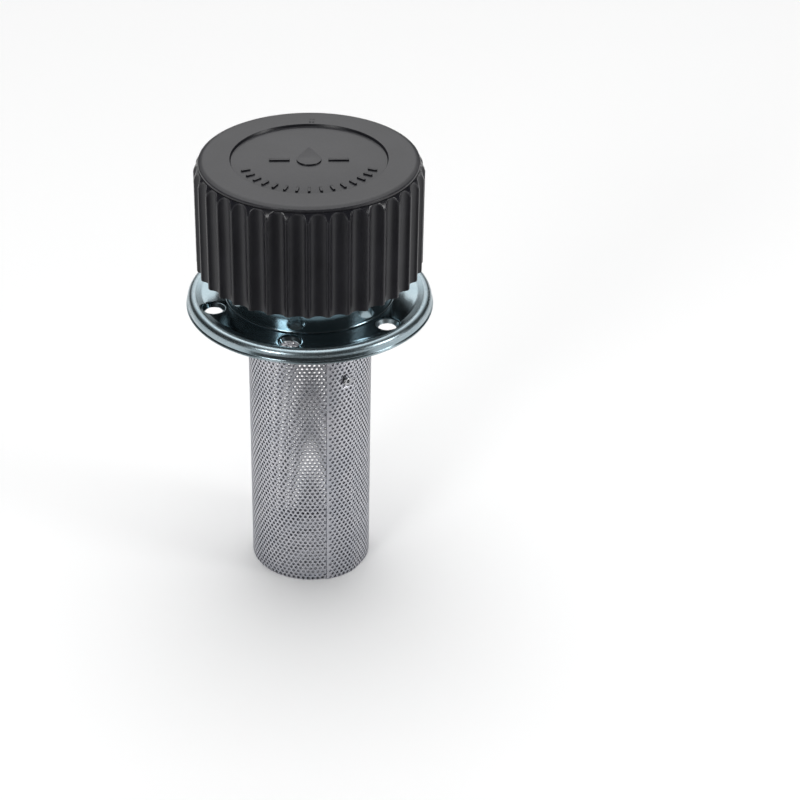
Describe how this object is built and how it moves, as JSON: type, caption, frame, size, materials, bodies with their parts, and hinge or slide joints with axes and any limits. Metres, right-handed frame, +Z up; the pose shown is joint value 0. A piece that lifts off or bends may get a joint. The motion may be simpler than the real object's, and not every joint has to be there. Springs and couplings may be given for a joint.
{
  "type": "hydraulic tank filler breather filter",
  "caption": "Tank filler breather: black fluted bayonet cap with air filter on a round zinc plated flange, above a long perforated steel strainer.",
  "frame": {"origin": "centre of the flange seat, on the underside of the flange sheet", "axes": "+Z up through the cap, -Y towards the viewer of the picture, +X to the right"},
  "size_m": [0.0864, 0.0864, 0.1613],
  "materials": {
    "cap_cover": "black moulded plastic, fine satin texture",
    "flange_plate": "bright zinc plated",
    "strainer_wall": "galvanised perforated sheet",
    "strainer_bottom": "galvanised perforated sheet",
    "strainer_collar": "bright zinc plated",
    "seam_rivet": "plain",
    "centre_stud": "zinc plated",
    "top_seal": "smooth",
    "filter_top_disc": "tinned",
    "filter_paper": "resin treated filter paper",
    "filter_core": "tinned",
    "filter_bottom_disc": "tinned",
    "bottom_seal": "grey felt",
    "base_plate": "zinc plated",
    "splash_guard": "zinc plated",
    "base_washer": "zinc plated",
    "base_nut": "zinc plated",
    "bayonet_bridge": "zinc plated",
    "bayonet_spring": "spring steel",
    "spring_washer": "zinc plated",
    "lock_nut": "zinc plated",
    "cap_seal": "smooth nitrile"
  },
  "bodies": {
    "flange": {"flange_plate": "flange_plate", "strainer_collar": "strainer_collar", "strainer_wall": "strainer_wall", "strainer_bottom": "strainer_bottom", "seam_rivet": "seam_rivet"},
    "seal": {"cap_seal": "cap_seal"},
    "cap": {"cap_cover": "cap_cover", "centre_stud": "centre_stud", "top_seal": "top_seal", "filter_top_disc": "filter_top_disc", "filter_paper": "filter_paper", "filter_core": "filter_core", "filter_bottom_disc": "filter_bottom_disc", "bottom_seal": "bottom_seal", "base_plate": "base_plate", "splash_guard": "splash_guard", "base_washer": "base_washer", "base_nut": "base_nut", "bayonet_spring": "bayonet_spring", "spring_washer": "spring_washer", "lock_nut": "lock_nut"},
    "bridge": {"bayonet_bridge": "bayonet_bridge"}
  },
  "joints": [
    {"name": "cap_lift", "type": "slide", "parent": "flange", "child": "seal", "axis": [0, 0, 1], "range_m": [0, 0.06]},
    {"name": "cap_turn", "type": "hinge", "parent": "seal", "child": "cap", "pos_m": [0, 0, 0.0182], "axis": [0, 0, 1], "range_deg": [-75, 0]},
    {"name": "bridge_travel", "type": "slide", "parent": "cap", "child": "bridge", "axis": [0, 0, 1], "range_m": [-0.0015, 0], "stiffness_N_per_m": 1500, "springref_m": 0.003, "deforming": ["bayonet_spring"]}
  ]
}
